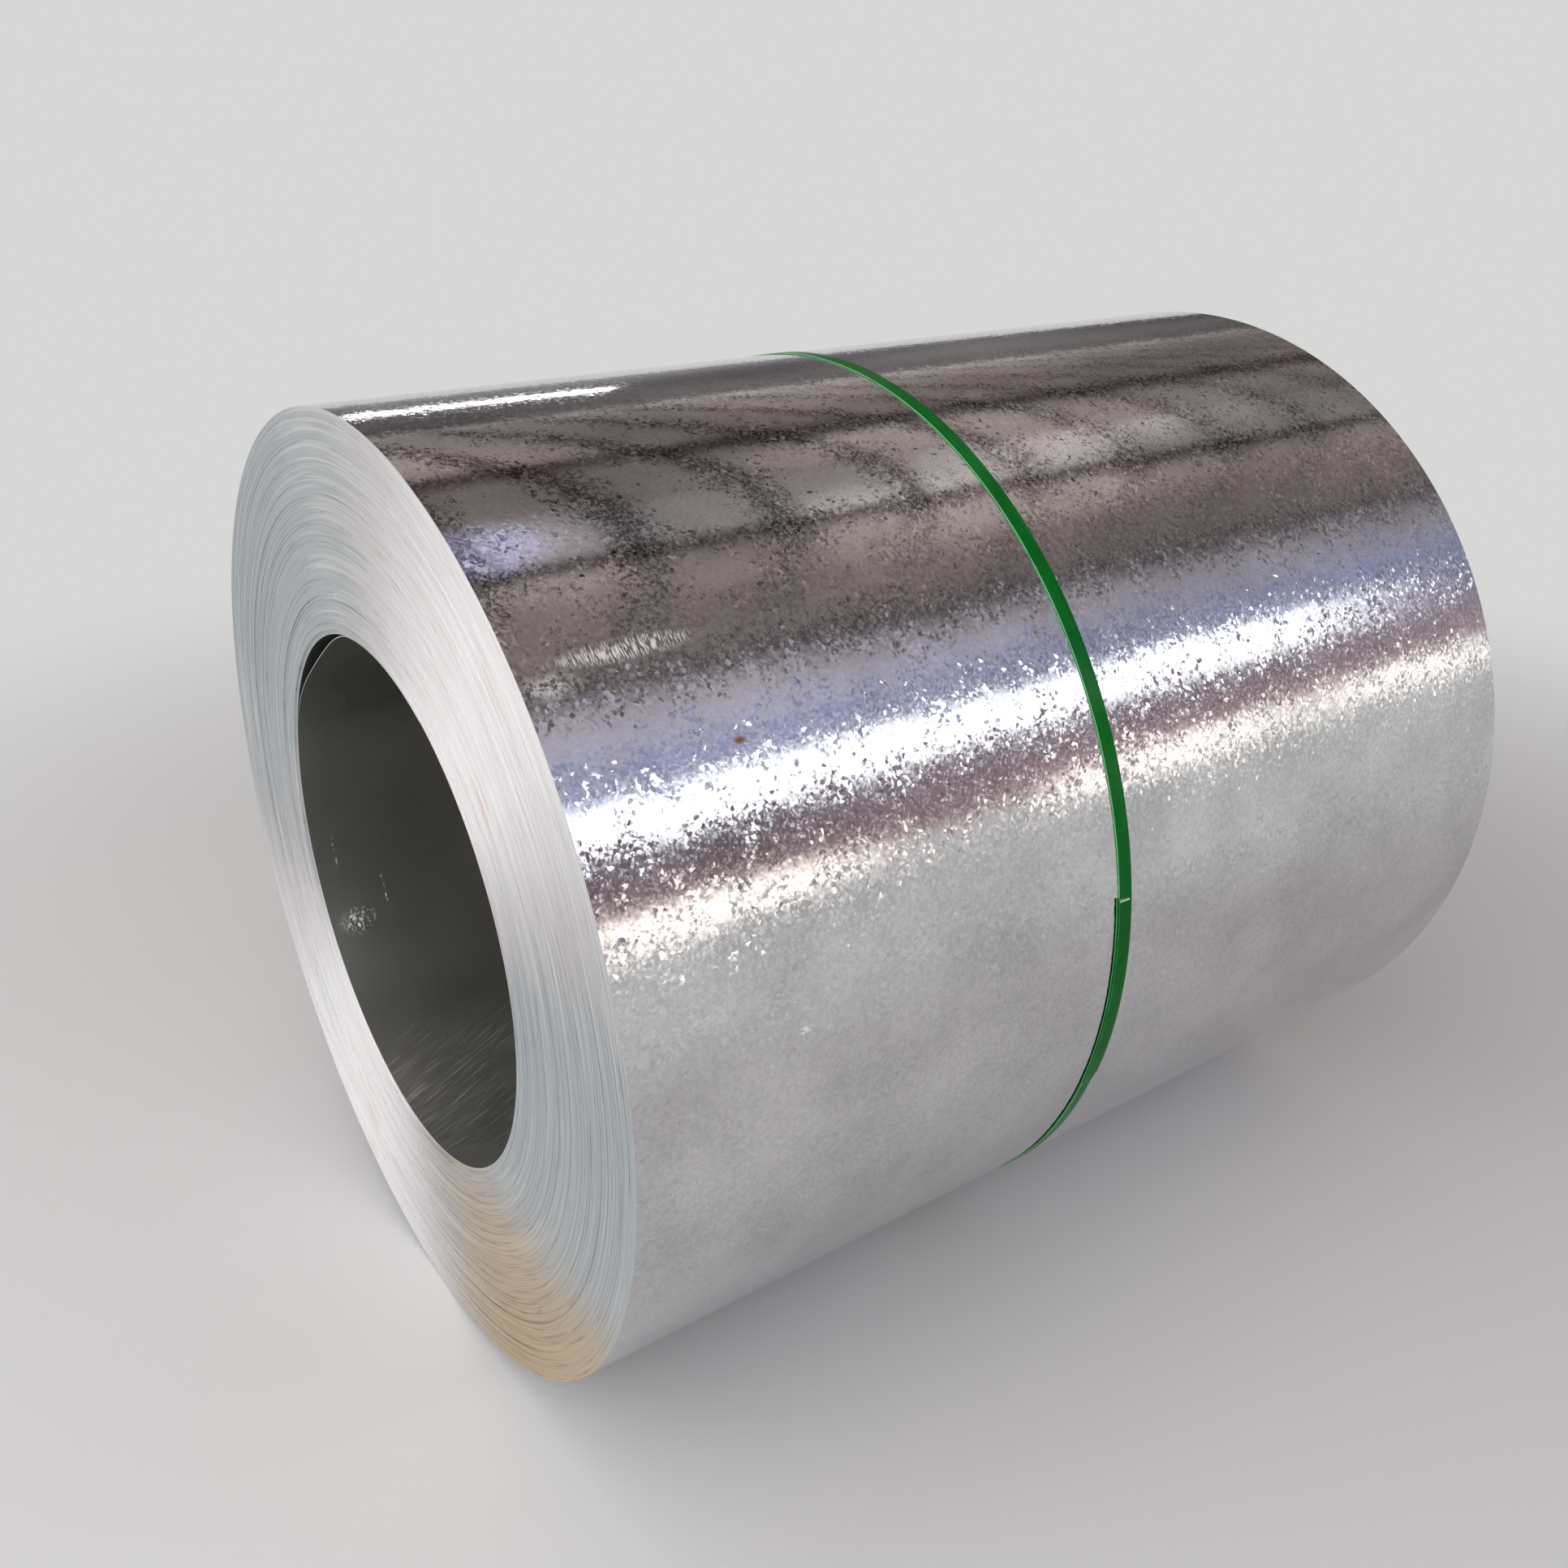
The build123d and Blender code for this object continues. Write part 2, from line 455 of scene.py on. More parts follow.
def boreFinish():
    look = boreLook
    finish, tree = newFinish("bore_zinc")
    here = coilCoords(tree)
    cloud = mottle(tree, here["point"], look["clouds"])
    colour = blendColour(tree, rise(tree, cloud, 0.2, 0.8), look["dark"], look["zinc"])

    # dust and dull scratches along the foot of the wall
    down = calc(tree, "MULTIPLY", here["out"][1], -1.0)
    ways = []
    for toMetre, toDegree in (look["slanted"], look["lengthways"]):
        ways.append(calc(tree, "ADD", calc(tree, "MULTIPLY", here["x"], toMetre),
                         calc(tree, "MULTIPLY", here["angle"], toDegree)))
    where = put(tree, "CombineXYZ", {0: ways[0], 1: ways[1]}).outputs[0]
    scratches = rise(tree, mottle(tree, where, 1.0, 1.0, 0.65), *look["scratchEdge"])
    everywhere, more = look["dustShare"]
    dust = calc(tree, "ADD", everywhere, calc(tree, "MULTIPLY", scratches, more))
    dust = calc(tree, "MULTIPLY", dust, rise(tree, down, *look["dustFrom"]))
    colour = blendColour(tree, dust, colour, look["dust"])

    # dents painted bright as glints, and pale dashed scratches, beside the mouth
    pits = mottle(tree, here["point"], look["pits"], 1.0, 0.6)
    dented = patch(tree, here, *look["dentsAt"])
    dentGlints = calc(tree, "MULTIPLY", dented, rise(tree, pits, *look["dentEdge"]))
    first, second = [patch(tree, here, *place) for place in look["dashesAt"]]
    dashes = calc(tree, "MAXIMUM", first, second)
    dashes = calc(tree, "MULTIPLY", dashes, rise(tree, pits, *look["dashEdge"]))
    glintsAndScratches = calc(tree, "MAXIMUM", dentGlints, dashes)
    colour = blendColour(tree, glintsAndScratches, colour, look["bright"])

    least, byCloud, byDust = look["rough"]
    rough = calc(tree, "ADD", least, calc(tree, "MULTIPLY", cloud, byCloud))
    rough = calc(tree, "ADD", rough, calc(tree, "MULTIPLY", dust, byDust))
    toDust, toMarks = look["metalLost"]
    metal = calc(tree, "SUBTRACT", 1.0, calc(tree, "MULTIPLY", dust, toDust))
    metal = calc(tree, "SUBTRACT", metal, calc(tree, "MULTIPLY", glintsAndScratches, toMarks))
    height = calc(tree, "MULTIPLY", dented, pits)
    face = put(tree, "Bump", {"Height": height, "Distance": look["dentDepth"]}).outputs[0]
    surface(tree, {"Base Color": colour, "Metallic": metal, "Roughness": rough, "Normal": face})
    return finish


# The coil: one strip wound as a spiral, with its head in the bore and its tail on the barrel
coilMake = {
    "laps": 107.5,             # laps drawn in the wall, about two sheets to each
    "steps": 216,              # points round one lap
    "sheet": 0.001,            # thickness of the strip
    "headAngle": 62.0,         # where the strip begins in the bore
    "tailFade": 0.09,          # the share of a lap over which the tail's step is taken up
    "uneven": (0.22, 0.61),    # how much the laps differ in thickness, and how soon
    "slow": (0.0008, 21.0),    # the wander along the axis: its reach, and the laps it takes to change
    "middle": (0.0005, 3.1),
    "quick": (0.0007, 0.71),
    "wanderFrom": (2.4, 3.4),  # the laps over which the wander begins
    "unevenAt": (3.3, 8.1),    # these only pick a stretch of noise for the thickness
    "wanderAt": (11.7, 5.3, 2.9),   # and for the wander, with the second the step from one to the next
    "slips": 8,                # laps that slipped in or out on their own
    "slipsWithin": (6, 4),     # none starts so near the head or the tail, in laps
    "slipLength": (0.4, 1.1),  # in laps
    "slipReach": (0.0005, 0.0011),
    "slipBlunt": 0.7,          # under 1, a slip reaches its most sooner
    # how the first laps lean, in laps from the head and in shares of the wander
    "lean": [(0, 1.0), (2.4, 1.0), (3.1, -0.75), (8, -0.4), (13, 0)],
    "joinWithin": 0.000002,    # points nearer than this are one
    "sharpFrom": 30,           # degrees between faces
    "seed": 5,
}
# the innermost lap, which has sprung off the wall
springMake = {
    "from": 98.0,
    "to": 160.0,
    "height": 0.016,
    "skew": 0.844,             # under 1 puts the highest place nearer the start
    "clearance": 0.00004,
    "steps": 480,
}

sheet = coilMake["sheet"]
lastLap = coilMake["laps"]
lapThickness = (barrelRadius - boreRadius - 3 * sheet) / (lastLap - 1)
dice = Random(coilMake["seed"])
slips = []
for _ in range(coilMake["slips"]):
    start = dice.uniform(coilMake["slipsWithin"][0], lastLap - coilMake["slipsWithin"][1])
    reach = dice.uniform(*coilMake["slipReach"]) * dice.choice((1, 1, -1))
    slips.append((start, dice.uniform(*coilMake["slipLength"]), reach))


def lapRadius(turn):
    # the strip's inner radius after so many turns; its first and last laps are one sheet thick
    if turn <= 1:
        return boreRadius + sheet * (1 + turn)
    if turn >= lastLap:
        return barrelRadius - sheet * (1 - smoothShare(turn - lastLap, 0, coilMake["tailFade"]))
    share = (turn - 1) / (lastLap - 1)
    most, pace = coilMake["uneven"]
    sway = most * lapThickness * noise.noise(Vector((turn * pace, *coilMake["unevenAt"])))
    return boreRadius + 2 * sheet + lapThickness * (turn - 1) + sway * sin(pi * share)


def lapShift(turn):
    # how far the strip sits along the axis after so many turns
    turn = min(turn, lastLap - 1)
    first, step, last = coilMake["wanderAt"]
    shift = 0
    for row, (reach, laps) in enumerate((coilMake["slow"], coilMake["middle"], coilMake["quick"])):
        shift += reach * noise.noise(Vector((turn / laps, first + step * row, last)))
    for start, length, reach in slips:
        if start < turn < start + length:
            shift += reach * sin(pi * (turn - start) / length) ** coilMake["slipBlunt"]
    shift *= smoothShare(turn, *coilMake["wanderFrom"])
    shift += wander * along(turn, coilMake["lean"])
    return min(max(shift, -wander), wander)


def squareUp(shape, x0, x1, inner, outer, angle):
    corners = ((x0, inner), (x0, outer), (x1, outer), (x1, inner))
    return [shape.verts.new(coilPoint(x, radius, angle)) for x, radius in corners]


def woundStrip():
    edges, barrel, bore = 0, 1, 2
    steps = coilMake["steps"]
    count = round(lastLap * steps)
    shape = bmesh.new()
    rows = []
    for step in range(count + 1):
        turn = step / steps
        shift = lapShift(turn)
        angle = coilMake["headAngle"] + 360 * turn
        rows.append(squareUp(shape, shift - stripWidth / 2, shift + stripWidth / 2,
                             lapRadius(turn), lapRadius(turn + 1), angle))

    def face(finish, *corners):
        shape.faces.new(corners).material_index = finish

    for step in range(count):
        here, there = rows[step], rows[step + 1]
        face(edges, here[0], here[1], there[1], there[0])
        face(edges, here[2], here[3], there[3], there[2])
        if step < steps:
            face(bore, here[3], here[0], there[0], there[3])
        if step >= count - steps:
            face(barrel, here[1], here[2], there[2], there[1])
        else:
            over, overNext = rows[step + steps], rows[step + steps + 1]
            face(edges, here[1], over[0], overNext[0], there[1])
            face(edges, over[3], here[2], there[2], overNext[3])
    face(edges, *rows[0])
    face(edges, *rows[-1])
    bmesh.ops.remove_doubles(shape, verts=shape.verts, dist=coilMake["joinWithin"])

    # the sprung lap: one sheet, from the head round to where the spiral takes over
    spring = springMake
    rows = []
    for step in range(spring["steps"] + 1):
        turn = step / spring["steps"] - 1
        angle = coilMake["headAngle"] + 360 * (turn + 1)
        share = min(max((angle - spring["from"]) / (spring["to"] - spring["from"]), 0), 1)
        inner = lapRadius(turn) - spring["height"] * sin(pi * share ** spring["skew"]) ** 2
        rows.append(squareUp(shape, wander - stripWidth / 2, wander + stripWidth / 2,
                             inner, inner + sheet - spring["clearance"], angle))
    for here, there in zip(rows, rows[1:]):
        face(edges, here[0], here[1], there[1], there[0])
        face(edges, here[2], here[3], there[3], there[2])
        face(bore, here[3], here[0], there[0], there[3])
        face(bore, here[1], here[2], there[2], there[1])
    face(edges, *rows[0])
    face(edges, *rows[-1])

    bmesh.ops.recalc_face_normals(shape, faces=shape.faces)
    return meshFrom("wound_strip", shape, coilMake["sharpFrom"])


stripMesh = woundStrip()
showPiece("wound_strip", stripMesh, [edgeFinish(), zincFinish(), boreFinish()], "coil")
print("steel coil: wound strip made,", sum(len(f.vertices) - 2 for f in stripMesh.polygons), "triangles")

# The strap: a flat band round the barrel, welded to itself where it is doubled
strapMake = {
    "width": 0.019,
    "thickness": 0.00098,
    "clearance": 0.0002,       # between the barrel and the band
    "doubled": 0.237,          # length where the outer end lies over the start
    "endHeight": 0.071,        # the outer end, above the front of the coil
    "ramp": 0.014,
    "drift": 0.24,             # length over which the outer end moves sideways
    # how far the torn end reaches at places across the band, from -1 at the near side to 1
    "cut": [(-1.0, 0.0030), (-0.85, 0.0028), (-0.45, -0.0008), (1.0, -0.0014)],
    "torn": 0.0024,            # length of the pale torn lip
    "ragged": 0.0008,
    "overhang": 0.00072,       # how far the free side of the doubled band bends down
    "overhangFrom": 0.0004,    # how far inside the band below that begins
    "cutDegrees": 3,           # degrees before its end over which the cut takes shape
    "acrossPoints": 16,
    "edgeRound": 0.00045,
    "stepLength": 0.0082,      # between the rows of points round the coil
    "rampRows": 8,             # more rows in the ramp's length
    "sharpFrom": 50,           # degrees between faces
    "seed": 3,
}
strapLook = {
    "green": (0.003, 0.160, 0.019, 1),
    "deep": (0.0015, 0.100, 0.012, 1),
    # streak is a painted highlight line, and edge a pale side that is partly painted highlight
    "streak": (0.008, 0.260, 0.050, 1),
    "edge": (0.200, 0.620, 0.270, 1),
    "torn": (0.50, 0.74, 0.52, 1),
    "streaks": (1500.0, 6.0),  # streaks to a metre across the band, and how soon they change round the coil
    "blotches": 35.0,
    "fromStreaks": 0.6,        # how much of the tone is streaks, and the rest blotches
    "doubledDarker": 0.08,     # how much darker the doubled length is
    "lines": 0.0013,           # half width of the painted bright line and of the rubbed side
    "doubledLine": 0.0009,     # half width of the rubbed side of the doubled length, partly painted highlight
    "lineShare": 0.8,          # how far the painted bright line covers the green
    "rough": (0.17, 0.14),     # the least, and how much more by the blotches
    "specular": 0.08,
    "streakHeight": 0.00003,
    "fibres": 900.0,           # fibres of the torn end, to a metre
    "tornFrom": (0.0035, 0.0055),   # how far in from the near side the torn end turns pale
    "tornRough": 0.6,
}
bandRadius = barrelRadius + strapMake["clearance"]
outerLayer = -strapLow.y - strapMake["thickness"]   # inner radius of the doubled layer
strapMiddle = strapHigh.x - strapMake["width"] / 2
strapSideStep = strapHigh.x - strapLow.x - strapMake["width"]
arcDegrees = degrees(1 / -strapLow.y)               # degrees to a metre round the band
strapEnd = strapMake["endHeight"] * arcDegrees
strapStart = strapEnd - strapMake["doubled"] * arcDegrees


def lineAlong(tree, here, x, halfWidth):
    # 1 on a line round the coil at x, fading to 0 on both sides
    off = calc(tree, "ABSOLUTE", calc(tree, "SUBTRACT", here["x"], x))
    return rise(tree, off, halfWidth * 0.3, halfWidth, 1.0, 0.0)


def strapFinish():
    look = strapLook
    finish, tree = newFinish("green_strapping")
    here = coilCoords(tree)
    across, drift = look["streaks"]
    sideways = calc(tree, "MULTIPLY", here["x"], across)
    where = put(tree, "CombineXYZ", {0: sideways, 1: calc(tree, "MULTIPLY", here["out"][0], drift),
                                     2: calc(tree, "MULTIPLY", here["out"][1], drift)}).outputs[0]
    streaks = mottle(tree, where, 1.0)
    blotch = mottle(tree, here["point"], look["blotches"], 3.0)
    tone = calc(tree, "ADD", calc(tree, "MULTIPLY", streaks, look["fromStreaks"]),
                calc(tree, "MULTIPLY", blotch, 1 - look["fromStreaks"]))
    doubled = calc(tree, "GREATER_THAN", here["radius"], outerLayer + 0.0001)
    tone = calc(tree, "SUBTRACT", tone, calc(tree, "MULTIPLY", doubled, look["doubledDarker"]))
    colour = blendColour(tree, rise(tree, tone, 0.35, 0.65), look["deep"], look["green"])

    # the welded length has a painted highlight: a bright line where it bends over the side of the band
    # below
    nearSide = lineAlong(tree, here, strapMiddle - strapMake["width"] / 2, look["lines"])
    # the painted highlight line, broken by blotches
    wearAndSheen = calc(tree, "MULTIPLY", calc(tree, "MULTIPLY", nearSide, doubled), rise(tree, blotch, 0.25, 0.5))
    colour = blendColour(tree, calc(tree, "MULTIPLY", wearAndSheen, look["lineShare"]), colour, look["streak"])

    # its near side is pale: partly a lighter rubbed edge, partly painted highlight
    nearDoubled = lineAlong(tree, here, strapLow.x, look["doubledLine"])
    rubbed = put(tree, "Mix", {0: doubled, 2: nearSide, 3: nearDoubled}).outputs[0]
    rubbed = calc(tree, "MULTIPLY", rubbed, rise(tree, blotch, 0.2, 0.5, 0.55, 1.0))
    colour = blendColour(tree, rubbed, colour, look["edge"])
    face = put(tree, "Bump", {"Height": streaks, "Distance": look["streakHeight"]}).outputs[0]
    least, more = look["rough"]
    rough = calc(tree, "ADD", least, calc(tree, "MULTIPLY", blotch, more))
    surface(tree, {"Base Color": colour, "Roughness": rough, "Normal": face,
                   "Specular IOR Level": look["specular"]})
    return finish


def tornFinish():
    look = strapLook
    finish, tree = newFinish("torn_strapping")
    here = coilCoords(tree)
    fibres = mottle(tree, here["point"], look["fibres"])
    start, full = [strapLow.x + inward for inward in look["tornFrom"]]
    torn = calc(tree, "MULTIPLY", rise(tree, fibres, 0.25, 0.5), rise(tree, here["x"], start, full))
    colour = blendColour(tree, torn, look["green"], look["torn"])
    surface(tree, {"Base Color": colour, "Roughness": look["tornRough"]})
    return finish


def bandOutline():
    # the band's section as (across, up) points, with its edges rounded
    make = strapMake
    half, thick, curve = make["width"] / 2, make["thickness"], make["edgeRound"]
    steps = make["acrossPoints"]
    flat = [-half + curve + (2 * half - 2 * curve) * i / steps for i in range(steps + 1)]
    corner = curve * (1 - cos(radians(45)))
    right = [(half - corner, corner), (half, curve),
             (half, thick - curve), (half - corner, thick - corner)]
    left = [(-across, up) for across, up in reversed(right)]
    return [(u, 0) for u in flat] + right + [(u, thick) for u in reversed(flat)] + left


def bandPlace(arc):
    # inner radius and sideways place of the band, by its angle along its own length
    make = strapMake
    rampEnd = strapStart + 360
    rampStart = rampEnd - make["ramp"] * arcDegrees
    climb = smoothShare(arc, rampStart, rampEnd)
    radius = bandRadius + (outerLayer - bandRadius) * climb
    side = smoothShare(arc, rampEnd - make["drift"] * arcDegrees, rampEnd)
    return radius, strapMiddle - strapSideStep * side


def strapBand():
    make = strapMake
    band, torn = 0, 1
    wholeArc = strapEnd + 360 - strapStart
    lipArc = make["torn"] * arcDegrees
    count = ceil(wholeArc / arcDegrees / make["stepLength"])
    arcs = [strapStart + (wholeArc - lipArc) * i / count for i in range(count + 1)]
    # closer rows from just before the ramp to just after it
    rampEnd = strapStart + 360
    rampRows = make["rampRows"]
    arcs += [rampEnd + make["ramp"] * arcDegrees * (i / rampRows - 1.1) for i in range(rampRows + 3)]
    arcs = sorted(arcs) + [strapEnd + 360]
    outline = bandOutline()
    dice = Random(make["seed"])
    ragged = [dice.uniform(-1, 0.1) * make["ragged"] for _ in outline]
    half = make["width"] / 2
    shape = bmesh.new()
    rows = []
    for arc in arcs:
        radius, middle = bandPlace(arc)
        last = smoothShare(arc, strapEnd + 360 - make["cutDegrees"], strapEnd + 360 - lipArc)
        lying = smoothShare(arc, rampEnd - make["ramp"] * arcDegrees, rampEnd)
        row = []
        for point, (across, up) in enumerate(outline):
            skew = along(across / half, make["cut"]) * last
            if arc == arcs[-1]:
                skew += ragged[point]
            free = smoothShare(-across, half - strapSideStep - make["overhangFrom"], half)
            bent = radius + up - make["overhang"] * free * lying
            row.append(shape.verts.new(coilPoint(middle + across, bent, arc + skew * arcDegrees)))
        rows.append(row)
    for step, (here, there) in enumerate(zip(rows, rows[1:])):
        finish = torn if step == len(rows) - 2 else band
        for i in range(len(outline)):
            j = (i + 1) % len(outline)
            shape.faces.new((here[i], here[j], there[j], there[i])).material_index = finish
    shape.faces.new(rows[0])
    shape.faces.new(rows[-1]).material_index = torn
    bmesh.ops.recalc_face_normals(shape, faces=shape.faces)
    return meshFrom("strap_band", shape, make["sharpFrom"])


bandMesh = strapBand()
showPiece("strap_band", bandMesh, [strapFinish(), tornFinish()], "strap")
print("steel coil: strap made,", sum(len(f.vertices) - 2 for f in bandMesh.polygons), "triangles")

# The studio: a round pale floor that curves up into a low wall
studioMake = {
    "floorRadius": 9.0,
    "ringEvery": 0.5,
    "cove": 1.2,
    "coveSteps": 12,
    "wallTop": (2.1, 5.0),     # low behind the coil and high behind the camera
    "wallClimb": (-0.1, 0.5),  # it climbs as it comes round to the near end, from 0 beside it to 1 there
    "sides": 96,
    "colour": (0.73, 0.73, 0.725, 1),
    "backdrop": (0.68, 0.68, 0.675, 1),
    "fade": (1.4, 3.3),        # how far out the paint fades into the backdrop
    "wear": 1.3,               # worn places to a metre
    "rough": (0.7, 0.15),      # the least, and how much more by wear
    "specular": 0.2,
}


def floorMesh():
    make = studioMake
    every, flatRings = make["ringEvery"], int(make["floorRadius"] / make["ringEvery"])
    profile = [(every * step, 0) for step in range(1, flatRings)]
    for step in range(make["coveSteps"] + 1):
        turned = radians(90 * step / make["coveSteps"])
        out, up = make["cove"] * sin(turned), make["cove"] * (1 - cos(turned))
        profile.append((make["floorRadius"] + out, up))
    profile.append((make["floorRadius"] + make["cove"], 0))    # its height is set by the way it faces
    low, high = make["wallTop"]
    shape = bmesh.new()
    middle = shape.verts.new((0, 0, 0))
    rings = []
    for row, (radius, height) in enumerate(profile):
        ring = []
        for i in range(make["sides"]):
            x, y = cos(2 * pi * i / make["sides"]), sin(2 * pi * i / make["sides"])
            if row == len(profile) - 1:
                height = low + (high - low) * smoothShare(-x, *make["wallClimb"])
            ring.append(shape.verts.new((radius * x, radius * y, height)))
        rings.append(ring)
    discFaces(shape, middle, rings)
    return meshFrom("studio_floor", shape)


def floorFinish():
    look = studioMake
    finish, tree = newFinish("floor_paint")
    point = put(tree, "TexCoord").outputs["Object"]
    least, more = look["rough"]
    wearAndSheen = mottle(tree, point, look["wear"], 3.0)
    rough = calc(tree, "ADD", least, calc(tree, "MULTIPLY", wearAndSheen, more))
    paint = put(tree, "BsdfPrincipled", {"Base Color": look["colour"], "Roughness": rough,
                                         "Specular IOR Level": look["specular"]})
    # further out the paint fades into an even pale backdrop
    away = put(tree, "VectorMath", {0: point}, operation="LENGTH").outputs["Value"]
    rays = put(tree, "LightPath").outputs
    seen = calc(tree, "MAXIMUM", rays["Is Camera Ray"], rays["Is Glossy Ray"])
    seen = calc(tree, "MAXIMUM", seen, rays["Is Transmission Ray"])
    share = calc(tree, "MULTIPLY", rise(tree, away, *look["fade"]), seen)
    glow = put(tree, "Emission", {"Color": look["backdrop"]})
    coatWith(tree, put(tree, "MixShader", {0: share, 1: paint.outputs[0], 2: glow.outputs[0]}).outputs[0])
    return finish


floor = addObject("studio_floor", floorMesh())
floor.data.materials.append(floorFinish())


# The dim roof that the metal mirrors. The camera looks past it, as it does past the lamps.
roofMake = {
    "radius": 40.0,
    "sides": 64,
    "rows": 16,
    # its light in rows along the coil: degrees over it from the front, and the light there
    "light": [(0, (0.32, 0.23, 0.25)), (15, (0.32, 0.19, 0.22)), (22, (0.32, 0.24, 0.28)),
              (37, (0.21, 0.22, 0.32)), (43, (0.30, 0.33, 0.54)), (50, (0.48, 0.46, 0.56)),
              (58, (0.50, 0.45, 0.48)), (62.5, (0.08, 0.06, 0.065)), (67, (0.48, 0.395, 0.37)),
              (89, (0.50, 0.41, 0.39)), (93, (0.11, 0.085, 0.085)), (97, (0.60, 0.53, 0.52)),
              (106, (0.60, 0.53, 0.52)), (110, (0.41, 0.34, 0.32)), (119, (0.44, 0.365, 0.345)),
              (124, (0.08, 0.065, 0.065)), (129, (0.42, 0.345, 0.325)), (144, (0.38, 0.315, 0.30)),
              (146, (0.54, 0.50, 0.49)), (148, (0.15, 0.13, 0.13)), (158, (0.19, 0.17, 0.17)),
              (165, (0.16, 0.15, 0.16)), (180, (0.35, 0.35, 0.35))],
    "patches": (0.085, 0.55, 1.35),    # their scale, and the light in the dimmest and the brightest
    "beams": (0.137, 0.25),            # beams across it: their spacing and where the first one is
    "beamWidth": (0.10, 0.20),         # a beam's half width and where its shade ends, in spacings
    "beamShade": 0.20,                 # the light left on a beam
    "beamsFrom": (63, 66),             # degrees between which the beams begin to show
    "beamsTo": (144, 148),             # and end
    "fanFrom": 2.0,                    # metres over the axis above which the beams fan out
    # one cool skylight: where along the roof, degrees over it, half length, half arc and soft rim
    "skylightAt": (0.385, 101.0, 0.070, 9.0, 0.5),
    "skylight": (0.80, 0.78, 1.10, 1),
    # it is dark behind the big lamps over the near end: between which places, and the light left
    "darkEnd": (-0.35, -0.05, 0.12),
}


def roofFinish():
    make = roofMake
    finish, tree = newFinish("dim_roof")
    here = coilCoords(tree)
    rows = easedRamp(tree, calc(tree, "DIVIDE", here["angle"], 180.0),
                     [(place / 180, colour) for place, colour in make["light"]])
    scale, dimmest, brightest = make["patches"]
    level = rise(tree, mottle(tree, here["point"], scale, 1.0), 0.3, 0.7, dimmest, brightest)

    # beams, which the barrel shows as faint hoops, and one cool skylight
    lying = calc(tree, "DIVIDE", here["x"], calc(tree, "MAXIMUM", here["up"], make["fanFrom"]))
    spacing, first = make["beams"]
    off = calc(tree, "PINGPONG", calc(tree, "ADD", calc(tree, "DIVIDE", lying, spacing), first), 0.5)
    beam = rise(tree, off, *make["beamWidth"], make["beamShade"], 1.0)
    among = calc(tree, "MULTIPLY", rise(tree, here["angle"], *make["beamsFrom"]),
                 rise(tree, here["angle"], *make["beamsTo"], 1.0, 0.0))
    level = calc(tree, "MULTIPLY", level, put(tree, "Mix", {0: among, 2: 1.0, 3: beam}).outputs[0])
    level = calc(tree, "MULTIPLY", level, rise(tree, lying, *make["darkEnd"], 1.0))
    inLine = dict(here, x=lying)
    light = blendColour(tree, patch(tree, inLine, *make["skylightAt"]), rows, make["skylight"])
    coatWith(tree, put(tree, "Emission", {"Color": light, "Strength": level}).outputs[0])
    finish.cycles.emission_sampling = "NONE"
    return finish


def roofMesh():
    make = roofMake
    shape = bmesh.new()
    top = shape.verts.new((0, 0, make["radius"]))
    rings = []
    for row in range(1, make["rows"] + 1):
        down = pi / 2 * row / make["rows"]
        out, up = make["radius"] * sin(down), make["radius"] * cos(down)
        ring = []
        for i in range(make["sides"]):
            turned = 2 * pi * i / make["sides"]
            ring.append(shape.verts.new((out * cos(turned), out * sin(turned), up)))
        rings.append(ring)
    discFaces(shape, top, rings)
    return meshFrom("studio_roof", shape)


roof = addObject("studio_roof", roofMesh())
roof.data.materials.append(roofFinish())
roof.visible_camera = False

# The air is as pale as the wall, so the backdrop has no edge from any side
air = bpy.data.worlds.new("studio_air")
air.use_nodes = True
air.node_tree.nodes["Background"].inputs["Color"].default_value = studioMake["backdrop"]
bpy.context.scene.world = air

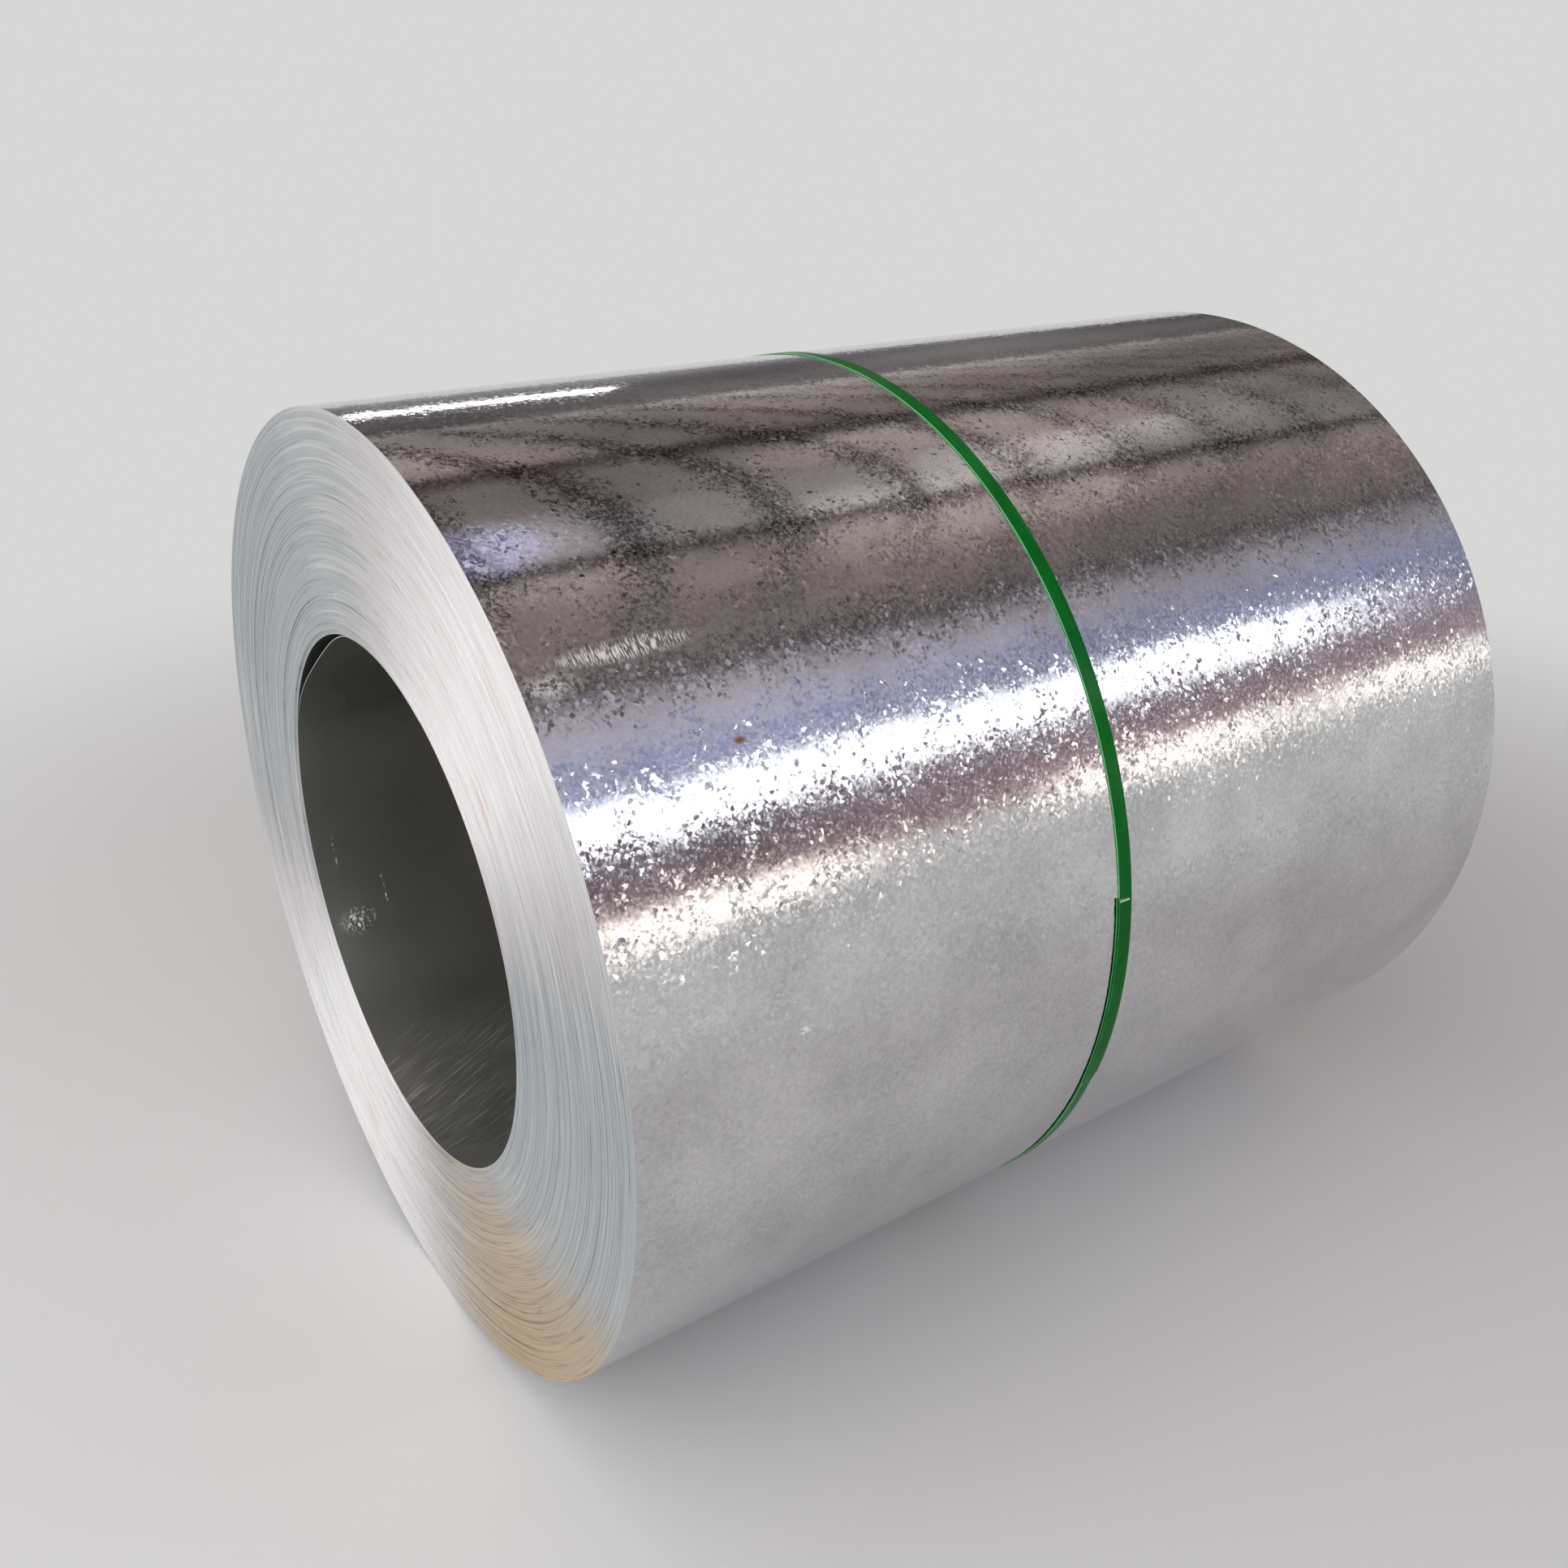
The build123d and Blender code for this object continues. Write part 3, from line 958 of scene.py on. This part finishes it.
# Soft lamps: where each stands, where it points, its width and height, watts, tint,
# and how far in from its edges it fades
lampMake = {
    "endLight": ((-4.8, -1.0, 2.7), (-0.6, 0, 0.9), (11.0, 3.8), 100, (1.0, 0.99, 0.98), 0.15),
    "overhead": ((-5.6, 0.4, 6.0), (-5.1, 0.4, 0), (14.0, 10.5), 610, (1.0, 1.0, 1.0), 0.12),
    "frontFill": ((-1.6, -5.2, 4.2), (0.8, -0.8, 0), (4.8, 3.4), 62, (1.0, 1.0, 1.0), 0.2),
    "highStrip": ((3.2, -3.9, 3.0), (3.2, 0, 0.8), (5.2, 0.72), 34, (0.95, 0.97, 1.0), 0),
    "lowStripNear": ((1.36, -4.2, 1.33), (1.36, 0, 0.8), (1.5, 0.50), 5.2, (1.0, 0.92, 0.82), 0),
    "lowStripMiddle": ((3.9, -4.2, 1.33), (3.9, 0, 0.8), (1.35, 0.50), 4.8, (1.0, 0.92, 0.82), 0),
    "lowStripFar": ((5.77, -4.2, 1.33), (5.77, 0, 0.8), (1.1, 0.50), 4.0, (1.0, 0.92, 0.82), 0),
    "rearStrip": ((2.2, 6.0, 3.05), (-0.4, 0, 1.0), (1.5, 0.36), 5.5, (1.0, 1.0, 1.0), 0),
}


def softEdge(light, fade):
    # the lamp is full in its middle and fades towards its sides
    light.use_nodes = True
    tree = light.node_tree
    across = put(tree, "SeparateXYZ", {0: put(tree, "NewGeometry").outputs["Parametric"]}).outputs
    level = 1.0
    for share in (across[0], across[1]):
        inward = calc(tree, "SUBTRACT", 0.5, calc(tree, "ABSOLUTE", calc(tree, "SUBTRACT", share, 0.5)))
        level = calc(tree, "MULTIPLY", level, rise(tree, inward, 0.0, fade))
    tree.links.new(level, tree.nodes["Emission"].inputs["Strength"])


def hangLamp(name, place, aim, size, watts, tint, fade):
    light = bpy.data.lights.new(name, "AREA")
    light.shape = "RECTANGLE"
    light.size, light.size_y = size
    light.energy = watts
    light.color = tint
    if fade:
        softEdge(light, fade)
    lamp = addObject(name, light)
    lamp.location = place
    lamp.rotation_euler = (Vector(aim) - Vector(place)).to_track_quat("-Z", "Y").to_euler()
    lamp.visible_camera = False


for lampName, settings in lampMake.items():
    hangLamp(lampName, *settings)
print("steel coil: studio lit by", len(lampMake), "lamps")

# The camera stands where the photograph was taken from
cameraMake = {
    "place": (-1.08399, -1.4173, 1.35673),
    "down": 24.99,
    "turn": -34.94,
    "lens": 33.648,
    "sensor": 36.0,
}
camera = bpy.data.cameras.new("photo_view")
camera.lens = cameraMake["lens"]
camera.sensor_width = cameraMake["sensor"]
viewer = addObject("photo_view", camera)
viewer.location = cameraMake["place"]
viewer.rotation_euler = (radians(90 - cameraMake["down"]), 0, radians(cameraMake["turn"]))
bpy.context.scene.camera = viewer
bpy.context.scene.view_settings.view_transform = "Standard"
